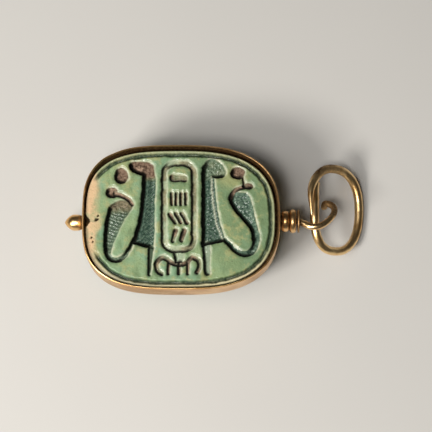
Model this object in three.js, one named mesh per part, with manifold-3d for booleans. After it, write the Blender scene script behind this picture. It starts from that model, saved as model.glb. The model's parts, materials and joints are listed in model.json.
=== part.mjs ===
// A scarab amulet in a gold setting, lying on its back: millimetres, +Z up.
// The beetle's carved base looks up, its back rests on the ground, and the origin is the middle of
// the small worn flat on the highest part of that back. +X runs along the pin, towards the ring.
import * as THREE from "three";
import { mergeVertices } from "three/addons/utils/BufferGeometryUtils.js";
import Module from "manifold-3d";

const wasm = await Module();
wasm.setup();

// ---- driving dimensions -------------------------------------------------------------------------
const LENGTH = 19.0; // the stone, head to tail
const WIDTH = 13.86;
const HEIGHT = 7.2; // from the flat on its back to the carved base
const TAIL_SQUARENESS = 3.1; // exponent of the oval on the tail side: 2 is an ellipse
const HEAD_SQUARENESS = 2.7;
const SEAT_SHIFT = new THREE.Vector2(-0.14, -0.1); // the stone sits a little to one side in its setting

const PLATE = 1.5; // thickness of the base plate
const WAIST_INSET = 1.0; // the waist behind the legs, in from the plate's edge
const BACK_INSET = 0.5; // the widest part of the back
const BACK_RISE = 4.3; // height of the back above the ground at its widest
const FLAT_HALF = 2.0; // half the length of the worn flat
const WING_LINE_X = -0.5; // where the wing cases meet the shield behind the head
const NECK_X = 5.3; // where the shield meets the head

const AXIS_Z = 4.8; // height of the pin's axis
const BORE_RADIUS = 0.6; // the hole drilled lengthwise through the stone
const LIP = 0.4; // how far the gold band stands above the carved base
const BAND_DROP = 0.62; // how far the band reaches below the pin's axis
const BAND_THICK = 0.28;
const BAND_GAP = 0.17; // between stone and band
const BAND_SHIFT = -0.07; // the band's middle, along the pin
const PIN_HOLE_RADIUS = 0.42;
const PIN_RADIUS = 0.3;
const KNOB_RADIUS = 0.82;
const KNOB_Y = -0.14;
const EYE_WIRE_RADIUS = 0.33;
const RING_WIRE_RADIUS = 0.46;

const RIM_Z = HEIGHT + LIP;
const PLATE_Z = HEIGHT - PLATE;
const HALF_LENGTH = LENGTH / 2;
const HALF_WIDTH = WIDTH / 2;
const BAND_HALF_LENGTH = HALF_LENGTH + BAND_GAP + BAND_THICK;

const FIGURE_DEPTH = 0.5; // how deep the figures are cut into the base
const LINE_DEPTH = 0.38; // the oval frame and the small collar
const STROKE_DEPTH = 0.28;
const BORDER_DEPTH = 0.2;

const ROUND = 48; // sides of the oval pieces
const PIN_SIDES = 12;

// ---- materials ----------------------------------------------------------------------------------
const glaze = new THREE.MeshStandardMaterial({ color: 0x93a77f, roughness: 0.5, metalness: 0 });
const gold = new THREE.MeshStandardMaterial({ color: 0xd9a24e, roughness: 0.28, metalness: 1 });
const wornGold = new THREE.MeshStandardMaterial({ color: 0xc98f4a, roughness: 0.34, metalness: 1 });

// ---- solids from geometry -----------------------------------------------------------------------
function solid(geometry) {
  const bare = geometry.clone();
  bare.deleteAttribute("normal");
  bare.deleteAttribute("uv");
  const merged = mergeVertices(bare, 1e-4);
  const triVerts = new Uint32Array(merged.index.array);
  const vertProperties = new Float32Array(merged.attributes.position.array);
  const made = new wasm.Manifold(new wasm.Mesh({ numProp: 3, vertProperties, triVerts }));
  if (made.volume() > 0) return made;
  triVerts.reverse(); // the outline ran the other way round
  return new wasm.Manifold(new wasm.Mesh({ numProp: 3, vertProperties, triVerts }));
}

function node(name, made, material) {
  const out = made.getMesh();
  const geometry = new THREE.BufferGeometry();
  geometry.setAttribute("position", new THREE.BufferAttribute(out.vertProperties, 3));
  geometry.setIndex(new THREE.BufferAttribute(out.triVerts, 1));
  geometry.computeVertexNormals();
  const mesh = new THREE.Mesh(geometry, material);
  mesh.name = name;
  return mesh;
}

const join = (solids) => solids.reduce((whole, next) => whole.add(next));
const cut = (whole, solids) => solids.reduce((left, next) => left.subtract(next), whole);

// ---- the oval that the plate, the waist, the back and the band share -----------------------------
// A unit direction becomes a point on an oval of the given half-length. Ovals near the edge are
// parallel to it, and those further in shrink evenly to a point.
const PARALLEL_RIM = 1.3;

function ovalPoint(cos, sin, halfLength) {
  const inset = HALF_LENGTH - halfLength;
  const halfWidth =
    inset < PARALLEL_RIM
      ? HALF_WIDTH - inset
      : ((HALF_WIDTH - PARALLEL_RIM) * halfLength) / (HALF_LENGTH - PARALLEL_RIM);
  const power = 2 / (cos > 0 ? HEAD_SQUARENESS : TAIL_SQUARENESS);
  return new THREE.Vector2(
    halfLength * Math.sign(cos) * Math.abs(cos) ** power,
    halfWidth * Math.sign(sin) * Math.abs(sin) ** power,
  );
}

// A turned profile, [half-length of the oval, height] from bottom to top, pressed into the oval.
function ovalSolid(profile, sides = ROUND, shift = () => 0) {
  const geometry = new THREE.LatheGeometry(
    profile.map(([r, z]) => new THREE.Vector2(r, z)),
    sides,
  ).rotateX(Math.PI / 2);
  const position = geometry.attributes.position;
  for (let i = 0; i < position.count; i++) {
    const [x, y, z] = [position.getX(i), position.getY(i), position.getZ(i)];
    const radius = Math.hypot(x, y);
    if (radius < 1e-6) {
      position.setXYZ(i, shift(z), 0, z);
      continue;
    }
    const snap = (value) => (Math.abs(value) < 1e-6 ? 0 : value);
    const p = ovalPoint(snap(x / radius), snap(y / radius), radius);
    position.setXYZ(i, p.x + shift(z), p.y, z);
  }
  return solid(geometry);
}

const slab = (x0, x1, y0, y1, z0, z1) =>
  solid(new THREE.BoxGeometry(x1 - x0, y1 - y0, z1 - z0)).translate(
    (x0 + x1) / 2,
    (y0 + y1) / 2,
    (z0 + z1) / 2,
  );

const rodAlongX = (radius, x0, x1, sides) =>
  solid(new THREE.CylinderGeometry(radius, radius, x1 - x0, sides).rotateZ(Math.PI / 2)).translate(
    (x0 + x1) / 2,
    0,
    AXIS_Z,
  );

// A piece turned about the X axis from [x, radius] pairs.
const turned = (profile, sides) =>
  solid(
    new THREE.LatheGeometry(profile.map(([x, r]) => new THREE.Vector2(r, x)), sides).rotateZ(-Math.PI / 2),
  );

// ---- the beetle ---------------------------------------------------------------------------------
// The back is a flattened dome. Its rings move towards the head as they near the ground.
const BACK_SQUARENESS = 2.35;
const BACK_HALF_LENGTH = 7.45;
const BACK_START_X = -1.55;

function backSolid(swell) {
  const rings = 10;
  const flatAngle = Math.acos((FLAT_HALF / BACK_HALF_LENGTH) ** (BACK_SQUARENESS / 2));
  const drop = Math.sin(flatAngle) ** (2 / BACK_SQUARENESS);
  const profile = [[0, 0]];
  for (let i = rings; i >= 0; i--) {
    const angle = (flatAngle * i) / rings;
    const across = Math.cos(angle) ** (2 / BACK_SQUARENESS);
    const down = Math.sin(angle) ** (2 / BACK_SQUARENESS) / drop;
    profile.push([BACK_HALF_LENGTH * across, BACK_RISE * (1 - down)]);
  }
  profile.push([BACK_HALF_LENGTH - 0.35, PLATE_Z + 0.2], [0, PLATE_Z + 0.2]);
  const wide = (HALF_WIDTH - BACK_INSET) / ((HALF_WIDTH - PARALLEL_RIM) * (BACK_HALF_LENGTH / (HALF_LENGTH - PARALLEL_RIM)));
  const lean = (z) => BACK_START_X * Math.min(1, Math.max(0, z / BACK_RISE)) ** 1.5;
  const dome = ovalSolid(profile, ROUND, lean).scale([1, wide, 1]);
  if (!swell) return dome;
  return dome
    .translate(-BACK_START_X / 2, 0, -BACK_RISE)
    .scale([1 - swell / BACK_HALF_LENGTH, 1 - swell / HALF_WIDTH, 1 - swell / BACK_RISE])
    .translate(BACK_START_X / 2, 0, BACK_RISE);
}

// A bent slab across the back: the line where the shield meets the wing cases.
function crossLine(x, bow, width) {
  const shape = new THREE.Shape();
  const reach = HALF_WIDTH;
  shape.moveTo(x - bow, -reach).quadraticCurveTo(x + bow, 0, x - bow, reach);
  shape.lineTo(x - bow - width, reach).quadraticCurveTo(x + bow - width, 0, x - bow - width, -reach);
  return solid(new THREE.ExtrudeGeometry(shape, { depth: PLATE_Z + 1, bevelEnabled: false, curveSegments: 8 }))
    .translate(0, 0, -0.5);
}

// Head: a low half-egg before the shield, with the toothed front edge of a dung beetle and two eyes.
function headSolid() {
  const HEAD_REACH = HALF_LENGTH - 0.45 - NECK_X;
  const egg = solid(new THREE.SphereGeometry(1, 20, 12).rotateX(Math.PI / 2))
    .scale([HEAD_REACH, 3.5, 3.0])
    .translate(NECK_X, 0, PLATE_Z + 0.25);
  const eyes = [-1, 1].map((side) =>
    solid(new THREE.SphereGeometry(0.75, 10, 8)).translate(NECK_X + 0.75, side * 2.85, PLATE_Z - 1.15),
  );
  const notches = [-30, -10, 10, 30].map((degrees) =>
    solid(new THREE.CylinderGeometry(0.2, 0.2, 3, 6).rotateX(Math.PI / 2)).translate(
      NECK_X + (HEAD_REACH + 0.02) * Math.cos(THREE.MathUtils.degToRad(degrees)),
      3.5 * Math.sin(THREE.MathUtils.degToRad(degrees)),
      PLATE_Z - 1.35,
    ),
  );
  return cut(join([egg, ...eyes]), notches).intersect(
    slab(NECK_X - 1.5, HALF_LENGTH, -HALF_WIDTH, HALF_WIDTH, 0.8, PLATE_Z + 0.2),
  );
}

// One leg: a tapering bar that lies along the waist, from under the back to the plate.
// from and to are places along the oval, in degrees from the head.
function legSolid(side, from, to, thick) {
  const points = [0, 0.35, 0.7, 1].map((t) => {
    const angle = THREE.MathUtils.degToRad(from + (to - from) * t);
    const p = ovalPoint(Math.cos(angle), Math.sin(angle), HALF_LENGTH - 0.95 + 0.25 * Math.sin(Math.PI * t));
    return new THREE.Vector3(p.x, side * p.y, BACK_RISE + 0.15 + (PLATE_Z - BACK_RISE - 0.35) * t);
  });
  const section = new THREE.Shape();
  section.absellipse(0, 0, thick, thick * 0.8, 0, 2 * Math.PI);
  return solid(
    new THREE.ExtrudeGeometry(section, {
      steps: 8,
      curveSegments: 3,
      bevelEnabled: false,
      extrudePath: new THREE.CatmullRomCurve3(points),
    }),
  );
}

const LEGS = [
  [64, 30, 0.46],
  [84, 112, 0.46],
  [112, 150, 0.46],
];

function beetleBody() {
  const plateEdge = 0.12;
  const plate = ovalSolid([
    [0, PLATE_Z],
    [HALF_LENGTH - plateEdge, PLATE_Z],
    [HALF_LENGTH, PLATE_Z + plateEdge],
    [HALF_LENGTH, HEIGHT - plateEdge],
    [HALF_LENGTH - plateEdge, HEIGHT],
    [0, HEIGHT],
  ]);
  const waist = ovalSolid(
    [
      [0, BACK_RISE - 0.3],
      [HALF_LENGTH - WAIST_INSET, BACK_RISE - 0.3],
      [HALF_LENGTH - WAIST_INSET, PLATE_Z + 0.2],
      [0, PLATE_Z + 0.2],
    ],
    36,
  ).intersect(slab(-HALF_LENGTH, NECK_X + 1.8, -HALF_WIDTH, HALF_WIDTH, 0, HEIGHT));
  const midline = slab(-HALF_LENGTH, WING_LINE_X - 0.1, -0.11, 0.11, -1, BACK_RISE);
  const lines = join([crossLine(WING_LINE_X + 0.45, 0.45, 0.24), midline]);
  const back = backSolid(0).subtract(lines).add(backSolid(0.22));
  const legs = LEGS.flatMap(([from, to, thick]) => [-1, 1].map((side) => legSolid(side, from, to, thick)));
  return join([plate, waist, back, headSolid(), ...legs]);
}

// ---- the carved base ----------------------------------------------------------------------------
// Figures are drawn on the base as seen from above, from the middle of the stone. Each becomes a
// sunk shape with upright walls.
function sunk(shape, depth) {
  const curveSegments = shape.curves.some((curve) => curve.isSplineCurve) ? 3 : 5;
  return solid(
    new THREE.ExtrudeGeometry(shape, { depth: depth + 0.5, bevelEnabled: false, curveSegments }),
  ).translate(0, 0, HEIGHT - depth);
}

const points2 = (list) => list.map(([x, y]) => new THREE.Vector2(x, y));

// A closed outline of smooth stretches that meet at corners. Each stretch starts where the last ended.
function outline(...stretches) {
  const shape = new THREE.Shape();
  shape.moveTo(...stretches[0][0]);
  for (const stretch of stretches) {
    const rest = stretch.slice(1);
    if (rest.length === 1) shape.lineTo(...rest[0]);
    else shape.splineThru(points2(rest));
  }
  return shape;
}

const disc = (x, y, halfWide, halfHigh) =>
  new THREE.Shape().absellipse(x, y, halfWide, halfHigh, 0, 2 * Math.PI);

// A line of changing width through a few points, with blunt ends.
function stroke(points, startWidth, endWidth) {
  const curve = new THREE.SplineCurve(points2(points));
  const steps = 2 + 2 * (points.length - 1);
  const sides = [[], []];
  for (let i = 0; i <= steps; i++) {
    const at = curve.getPoint(i / steps);
    const along = curve.getTangent(i / steps);
    const half = THREE.MathUtils.lerp(startWidth, endWidth, i / steps) / 2;
    const across = new THREE.Vector2(-along.y, along.x).multiplyScalar(half);
    sides[0].push(at.clone().add(across));
    sides[1].unshift(at.clone().sub(across));
  }
  return new THREE.Shape([...sides[0], ...sides[1]]);
}

// Two tall feathers flank the oval frame, each with its quill.
const leftFeather = outline(
  [[-4.55, -2.6], [-4.2, -0.44], [-3.9, 2.1], [-3.84, 4.39]],
  [[-3.84, 4.39], [-4.5, 4.6], [-5.12, 5.1], [-5.0, 5.72], [-3.95, 5.86], [-2.85, 5.5], [-2.52, 4.3],
    [-2.53, 1.7], [-2.58, -1.3], [-2.7, -3.1]],
  [[-2.7, -3.1], [-4.55, -2.6]],
);
const rightFeather = outline(
  [[2.12, -2.85], [2.12, 5.2]],
  [[2.12, 5.2], [2.6, 5.88], [3.3, 6.12], [4.0, 5.75], [4.55, 4.85], [4.38, 4.3], [3.79, 4.12], [3.42, 4.1]],
  [[3.42, 4.1], [3.52, 2.6], [3.79, 0.48], [4.1, -0.8], [4.58, -2.3]],
  [[4.58, -2.3], [2.12, -2.85]],
);
const quills = [
  stroke([[-2.94, -3.0], [-3.11, -5.65]], 0.5, 0.32),
  stroke([[2.56, -2.6], [2.68, -5.45]], 0.84, 0.7),
];

// A rearing cobra with a sun disc stands outside each feather, its tail running to the feather's foot.
const leftCobra = [
  outline(
    [[-7.18, 1.21], [-6.5, 1.75], [-5.67, 1.85], [-4.63, 1.47]],
    [[-4.63, 1.47], [-5.2, 0.5], [-5.92, -0.69], [-6.5, -2.1], [-6.97, -3.6]],
    [[-6.97, -3.6], [-7.4, -3.95], [-7.66, -3.1], [-7.66, -1.6], [-7.46, 0.1], [-7.18, 1.21]],
  ),
  disc(-6.87, 2.64, 0.62, 0.54),
  stroke([[-6.55, 2.55], [-5.8, 2.25], [-5.15, 1.85], [-4.86, 1.45]], 0.5, 0.42),
  stroke([[-7.3, -3.5], [-7.0, -4.05], [-6.45, -4.24], [-5.8, -4.0], [-5.3, -3.43], [-4.6, -2.0]], 0.62, 0.36),
  disc(-5.95, 4.34, 0.72, 0.8),
];
const rightCobra = [
  outline(
    [[4.78, 1.95], [5.3, 2.62], [6.1, 2.68], [6.9, 2.35], [7.25, 1.3], [7.6, -0.2], [7.9, -1.4], [8.0, -2.3]],
    [[8.0, -2.3], [7.19, -2.3]],
    [[7.19, -2.3], [7.0, -1.2], [6.29, -0.19], [5.5, 0.65], [4.78, 1.95]],
  ),
  stroke([[6.56, 3.23], [5.85, 3.03], [5.3, 2.65], [5.0, 2.1]], 0.42, 0.4),
  disc(6.75, 3.3, 0.56, 0.3),
  stroke([[6.3, 4.2], [6.4, 3.4]], 0.2, 0.2),
  disc(5.77, 4.65, 0.72, 0.62),
  stroke([[7.6, -2.1], [7.42, -2.93], [6.95, -3.45], [6.29, -3.6], [5.63, -3.33], [4.5, -2.2]], 0.74, 0.42),
];

// The oval frame in the middle: a band with rounded ends.
const FRAME = { x: -0.18, y: 1.2, halfWide: 1.79, halfHigh: 4.68, band: 0.56, corner: 1.35 };

function roundedBox(inset) {
  const [w, h, r] = [FRAME.halfWide - inset, FRAME.halfHigh - inset, FRAME.corner - inset];
  const shape = new THREE.Shape();
  shape.absarc(FRAME.x + w - r, FRAME.y + h - r, r, 0, Math.PI / 2);
  shape.absarc(FRAME.x - w + r, FRAME.y + h - r, r, Math.PI / 2, Math.PI);
  shape.absarc(FRAME.x - w + r, FRAME.y - h + r, r, Math.PI, 1.5 * Math.PI);
  shape.absarc(FRAME.x + w - r, FRAME.y - h + r, r, 1.5 * Math.PI, 2 * Math.PI);
  return shape;
}

function frameBand() {
  const shape = roundedBox(0);
  shape.holes.push(roundedBox(FRAME.band));
  return shape;
}

// Four rows of plain strokes fill the frame: a bar, uprights, slants and a pair.
const ROWS = [
  { y: 4.1, count: 1, pitch: 0, lean: 1.1, down: 0.1, width: 0.62 },
  { y: 2.0, count: 4, pitch: 0.46, lean: 0, down: 1.1, width: 0.26 },
  { y: 0.0, count: 3, pitch: 0.6, lean: 0.5, down: 0.9, width: 0.28 },
  { y: -1.75, count: 2, pitch: 0.85, lean: -0.3, down: 1.0, width: 0.32 },
];

const strokes = ROWS.flatMap((row) =>
  Array.from({ length: row.count }, (_, i) => {
    const x = FRAME.x + (i - (row.count - 1) / 2) * row.pitch;
    return stroke(
      [[x - row.lean / 2, row.y + row.down / 2], [x + row.lean / 2, row.y - row.down / 2]],
      row.width,
      row.width,
    );
  }),
);

// A small beaded collar under the frame: a sagging band with curled ends and three drops.
const collarFigure = [
  stroke([[-1.87, -5.6], [-2.25, -5.3], [-2.36, -4.55], [-1.74, -3.95], [-0.9, -4.45], [-0.1, -4.68], [0.66, -4.5],
    [1.2, -3.98], [1.8, -4.25], [1.9, -4.85], [1.62, -5.45]], 0.45, 0.42),
  ...[-1.14, -0.12, 0.8].map((x) => stroke([[x, -4.5], [x - 0.04, -5.6]], 0.36, 0.28)),
];

// The border line follows the plate's edge, and is worn away at the tail end.
const BORDER_INSET = 0.42;
const BORDER_WIDTH = 0.3;

function borderLine() {
  const outer = HALF_LENGTH - BORDER_INSET + BORDER_WIDTH / 2;
  const ring = ovalSolid([
    [outer - BORDER_WIDTH, HEIGHT - BORDER_DEPTH],
    [outer, HEIGHT - BORDER_DEPTH],
    [outer, HEIGHT + 0.5],
    [outer - BORDER_WIDTH, HEIGHT + 0.5],
    [outer - BORDER_WIDTH, HEIGHT - BORDER_DEPTH],
  ]);
  return ring.subtract(slab(-HALF_LENGTH, -7.9, -3.4, 2.6, 0, HEIGHT + 1));
}

// The stone has broken away above the mouth of the bore at the tail.
function chip() {
  return solid(new THREE.IcosahedronGeometry(0.78, 1))
    .scale([0.62, 0.8, 1.6])
    .translate(-HALF_LENGTH + 0.02, -0.28, HEIGHT - 0.5);
}

function scarab() {
  const carving = [
    ...[leftFeather, rightFeather, ...leftCobra, ...rightCobra].map((shape) => sunk(shape, FIGURE_DEPTH)),
    ...[frameBand(), ...collarFigure, ...quills].map((shape) => sunk(shape, LINE_DEPTH)),
    ...strokes.map((shape) => sunk(shape, STROKE_DEPTH)),
    borderLine(),
    chip(),
  ];
  const bore = rodAlongX(BORE_RADIUS, -LENGTH, LENGTH, PIN_SIDES);
  return cut(beetleBody(), [...carving, bore]).translate(SEAT_SHIFT.x, SEAT_SHIFT.y, 0);
}

// ---- the gold setting ---------------------------------------------------------------------------
const LEDGE = 0.42; // the band's inner shelf, under the plate
const COLLAR = [
  // [x along the pin, radius] of the double roll that the pin turns in
  [-0.06, 0.9], [0.25, 0.9], [0.31, 1.0], [0.46, 1.08], [0.74, 1.08], [0.89, 0.98],
  [0.96, 0.86], [1.02, 0.86], [1.07, 1.06], [1.22, 1.2], [1.5, 1.2], [1.65, 1.06], [1.69, 0.9],
];
const COLLAR_X = BAND_HALF_LENGTH + BAND_SHIFT - 0.02;

function setting() {
  const inner = BAND_HALF_LENGTH - BAND_THICK;
  const shelfTop = PLATE_Z - 0.03;
  const band = ovalSolid([
    [inner - LEDGE, shelfTop - 0.25],
    [inner, shelfTop - 0.45],
    [inner, AXIS_Z - BAND_DROP + 0.08],
    [inner + 0.06, AXIS_Z - BAND_DROP],
    [BAND_HALF_LENGTH, AXIS_Z - BAND_DROP],
    [BAND_HALF_LENGTH, RIM_Z - 0.12],
    [BAND_HALF_LENGTH - 0.1, RIM_Z],
    [inner + 0.02, RIM_Z],
    [inner, RIM_Z - 0.1],
    [inner, shelfTop],
    [inner - LEDGE, shelfTop],
    [inner - LEDGE, shelfTop - 0.25],
  ], ROUND, () => BAND_SHIFT);
  const profile = [[COLLAR[0][0], 0], ...COLLAR, [COLLAR.at(-1)[0], 0]];
  const collar = turned(profile, 20).translate(COLLAR_X, 0, AXIS_Z);
  const hole = rodAlongX(PIN_HOLE_RADIUS, -LENGTH, LENGTH, PIN_SIDES);
  return join([band, collar]).subtract(hole);
}

// ---- the pin: a knob at the tail, a shaft through the stone, and a loop of wire past the collar ---
const WASHER_X = COLLAR_X + 1.95;
const EYE_TURN = [
  // centre line of the loop, from the washer round to its tucked-in end
  [WASHER_X, 0, AXIS_Z],
  [12.4, -0.28, 4.95],
  [13.1, -0.62, 5.2],
  [14.0, -0.52, 5.18],
  [14.82, 0.05, 4.85],
  [15.42, 0.85, 4.35],
  [15.5, 1.45, 3.92],
  [15.3, 1.82, 3.62],
  [14.95, 2.04, 3.38],
  [14.66, 2.1, 3.1],
  [14.55, 1.95, 2.76],
  [14.58, 1.7, 2.46],
];
const KNOB = [
  // [x along the pin from the knob's flat face, radius], from its pointed tip
  [-1.77, 0], [-1.7, 0.18], [-1.52, 0.44], [-1.26, 0.66], [-0.98, 0.79], [-0.66, KNOB_RADIUS],
  [-0.34, 0.8], [-0.1, 0.72], [0, 0.62], [0, 0],
];
const KNOB_X = BAND_SHIFT - BAND_HALF_LENGTH - 0.1;

function wire(points, radius, sides, steps) {
  const section = new THREE.Shape(
    Array.from({ length: sides }, (_, i) => {
      const angle = (2 * Math.PI * (i + 0.5)) / sides;
      return new THREE.Vector2(radius * Math.cos(angle), radius * Math.sin(angle));
    }),
  );
  const extrudePath = new THREE.CatmullRomCurve3(points);
  return solid(new THREE.ExtrudeGeometry(section, { steps, bevelEnabled: false, extrudePath }));
}

function pin() {
  const shaft = rodAlongX(PIN_RADIUS, KNOB_X - KNOB_RADIUS, WASHER_X + 0.25, PIN_SIDES);
  const knob = turned(KNOB, 16).translate(KNOB_X, KNOB_Y, AXIS_Z);
  const eye = wire(EYE_TURN.map((p) => new THREE.Vector3(...p)), EYE_WIRE_RADIUS, 8, 30);
  return join([shaft, knob, eye]);
}

function washer() {
  const disk = rodAlongX(1.18, WASHER_X - 0.12, WASHER_X + 0.08, 24);
  return disk.subtract(rodAlongX(EYE_WIRE_RADIUS + 0.1, WASHER_X - 1, WASHER_X + 1, PIN_SIDES));
}

// ---- the ring: a sloping oval of thick wire with lapped ends, one side on the ground -------------
const RING = {
  left: 12.93, // x of the side that hangs in the loop
  right: 18.3, // x of the side on the ground
  high: 4.75, // z of the side in the loop
  low: RING_WIRE_RADIUS - 0.03,
  y: 1.54,
  halfLong: 4.24,
  squareness: 2.3, // exponent of its oval
  lean: -0.044, // how far the oval leans towards the loop, for each millimetre along Y
  from: -38, // degrees: the wire's two ends overlap beside the loop
  to: 371,
  lap: 1.08, // how far apart the lapped ends lie
  lapWay: new THREE.Vector3(-0.15, 0, 0.98),
  startBend: 0.5, // how far the wire is bent in towards the middle of the oval below the loop
  endBend: 0.3, // and at its upper end
};

function ringCentre(t) {
  const angle = THREE.MathUtils.degToRad(THREE.MathUtils.lerp(RING.from, RING.to, t));
  const rounded = (value) => Math.sign(value) * Math.abs(value) ** (2 / RING.squareness);
  const degrees = THREE.MathUtils.radToDeg(angle);
  const { smoothstep } = THREE.MathUtils;
  const bend = RING.startBend * smoothstep(degrees, -50, 5) * (1 - smoothstep(degrees, -5, 100)) +
    RING.endBend * smoothstep(degrees, 335, 371);
  const along = -RING.halfLong * rounded(Math.sin(angle));
  const across = new THREE.Vector3(RING.right - RING.left, 0, RING.low - RING.high).multiplyScalar(0.5);
  return new THREE.Vector3((RING.left + RING.right) / 2, RING.y, (RING.high + RING.low) / 2)
    .addScaledVector(across, -rounded(Math.cos(angle)))
    .add(new THREE.Vector3(bend - RING.lean * along, along, 0))
    .addScaledVector(RING.lapWay, RING.lap * (t - 0.5));
}

function ring() {
  const turns = 40;
  const points = Array.from({ length: turns + 1 }, (_, i) => ringCentre(i / turns));
  return wire(points, RING_WIRE_RADIUS, 10, 42);
}

const amulet = new THREE.Group();
amulet.add(
  node("scarab", scarab(), glaze),
  node("setting", setting(), gold),
  node("pin", pin(), wornGold),
  node("washer", washer(), wornGold),
  node("ring", ring(), gold),
);

export default amulet;
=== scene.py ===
# %% [markdown]
# # A scarab amulet in a gold setting
# A beetle carved in soft stone and glazed green lies on its back, so that its carved base looks up.
# A gold band holds it. A gold pin runs through it from a knob at the tail to a loop at the head, and
# an oval ring of wire hangs in the loop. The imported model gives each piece's true size and place.
# The pieces made here stand for it, with the fine carving, the wear and the finishes.

import math
from functools import partial

import bpy
import numpy as np
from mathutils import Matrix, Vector
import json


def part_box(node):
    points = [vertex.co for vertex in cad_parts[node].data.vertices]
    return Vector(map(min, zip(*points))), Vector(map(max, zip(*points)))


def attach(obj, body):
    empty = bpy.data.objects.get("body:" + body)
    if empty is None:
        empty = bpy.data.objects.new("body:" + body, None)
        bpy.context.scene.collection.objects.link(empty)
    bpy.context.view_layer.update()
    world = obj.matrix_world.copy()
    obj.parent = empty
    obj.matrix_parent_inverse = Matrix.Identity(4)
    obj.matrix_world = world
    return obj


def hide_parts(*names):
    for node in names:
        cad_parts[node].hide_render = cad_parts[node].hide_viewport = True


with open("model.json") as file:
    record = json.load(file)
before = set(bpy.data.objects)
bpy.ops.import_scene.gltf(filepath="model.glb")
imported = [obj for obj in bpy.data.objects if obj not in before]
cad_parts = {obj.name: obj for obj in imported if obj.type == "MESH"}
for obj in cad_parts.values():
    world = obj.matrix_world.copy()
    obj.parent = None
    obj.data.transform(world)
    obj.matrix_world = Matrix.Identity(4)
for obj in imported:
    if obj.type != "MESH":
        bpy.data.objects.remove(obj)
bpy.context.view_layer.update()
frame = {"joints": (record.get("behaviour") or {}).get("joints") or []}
MM = 0.001

# %% [markdown]
# ## Places from the frame
# The working unit below is the millimetre, and every mesh is scaled to metres when it is placed.
# The stone sits a little off the middle of its band, so its own box gives the middle of the carving.

# %% Places
stone_low, stone_high = (np.array(corner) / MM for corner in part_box("scarab"))
band_low, band_high = (np.array(corner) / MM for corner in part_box("setting"))
washer_low, washer_high = (np.array(corner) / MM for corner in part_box("washer"))
pin_low = np.array(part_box("pin")[0]) / MM
STONE_MIDDLE = (stone_low[:2] + stone_high[:2]) / 2
FACE_Z = stone_high[2]
RIM_Z = band_high[2]
HALF_LENGTH = (stone_high[0] - stone_low[0]) / 2
HALF_WIDTH = (stone_high[1] - stone_low[1]) / 2
AXIS_Z = frame["joints"][0]["pos_m"][2] / MM
print(f"stone {2 * HALF_LENGTH:.2f} by {2 * HALF_WIDTH:.2f} mm, base at {FACE_Z:.2f}, pin at {AXIS_Z:.2f}")

# %% [markdown]
# ## Camera
# The amulet is seen from nearly straight above, ten degrees off the vertical, through a long lens
# that keeps its far sides parallel. The picture takes in about 43 mm from side to side.

# %% Camera
PICTURE_WIDTH = 43.2
LENS = 150
SENSOR = 36
OFF_VERTICAL = math.radians(10)
AIM_X, AIM_Y = 3.43, 0.05
aim = Vector((AIM_X, AIM_Y, RIM_Z)) * MM
distance = PICTURE_WIDTH * MM * LENS / SENSOR
back_from_aim = Vector((0, -math.sin(OFF_VERTICAL), math.cos(OFF_VERTICAL)))

bpy.ops.object.camera_add(location=aim + back_from_aim * distance, rotation=(OFF_VERTICAL, 0, 0))
camera = bpy.context.object
camera.data.lens = LENS
camera.data.sensor_width = SENSOR
camera.data.clip_start = 0.01
bpy.context.scene.camera = camera
print(f"camera {distance:.3f} m away")

# %% [markdown]
# ## Reading and moving points
# A carved face is easiest to shape as a height over a plane: a fine grid is added with the usual
# operators, and a function then says how deep each of its points lies. These helpers select one
# object, read all of a mesh's points as an array, and write them back.

# %% Points in and out
def select_only(*objects):
    bpy.ops.object.select_all(action="DESELECT")
    for obj in objects:
        obj.select_set(True)
    bpy.context.view_layer.objects.active = objects[0]


def edit(action="SELECT"):
    """Goes into edit mode with everything selected, or nothing."""
    bpy.ops.object.mode_set(mode="EDIT")
    bpy.ops.mesh.select_all(action=action)


def leave_edit():
    bpy.ops.object.mode_set(mode="OBJECT")


def points_of(obj):
    flat = np.empty(len(obj.data.vertices) * 3)
    obj.data.vertices.foreach_get("co", flat)
    return flat.reshape(-1, 3)


def move_points(obj, points):
    obj.data.vertices.foreach_set("co", np.asarray(points, float).ravel())
    obj.data.update()


def smooth_faces():
    """Smooths all but the sharp edges of the selected pieces."""
    bpy.ops.object.shade_smooth_by_angle(angle=math.radians(40))


def paint(obj, name, values):
    """Keeps one number for each point, which the finish reads by its name."""
    layer = obj.data.attributes.new(name, "FLOAT", "POINT")
    layer.data.foreach_set("value", np.clip(values, 0, 1).astype(np.float32))


def smooth(start, end, value):
    t = np.clip((value - start) / (end - start), 0, 1)
    return t * t * (3 - 2 * t)


GRAIN = np.random.default_rng(7).random((256, 256))


def mottle(x, y, size):
    """Soft random values from 0 to 1 that change over about one size."""
    u, v = x / size + 100, y / size + 100
    column, row = np.floor(u).astype(int), np.floor(v).astype(int)
    a, b = smooth(0, 1, u - column), smooth(0, 1, v - row)
    corner = [GRAIN[(row + j) % 256, (column + i) % 256] for j in (0, 1) for i in (0, 1)]
    return (corner[0] * (1 - a) + corner[1] * a) * (1 - b) + (corner[2] * (1 - a) + corner[3] * a) * b


# %% [markdown]
# ## The oval
# Stone and band share one outline, an oval squarer than an ellipse and a little rounder at the
# head. In such an oval the two half-sizes shrink by the same inset, so every step in from the edge
# stays parallel to it. A square grid is laid into it by pulling the grid's corners in.

# %% The oval
HEAD_SQUARENESS = 2.7
TAIL_SQUARENESS = 3.1
OUTLINE_CORNERS = 240


def squareness(x):
    return np.where(x > 0, HEAD_SQUARENESS, TAIL_SQUARENESS)


def signed_power(value, power):
    return np.sign(value) * np.abs(value) ** power


def length_along(points):
    """The length from the first point to each of them."""
    return np.concatenate([[0], np.cumsum(np.linalg.norm(np.diff(points, axis=0), axis=1))])


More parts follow.
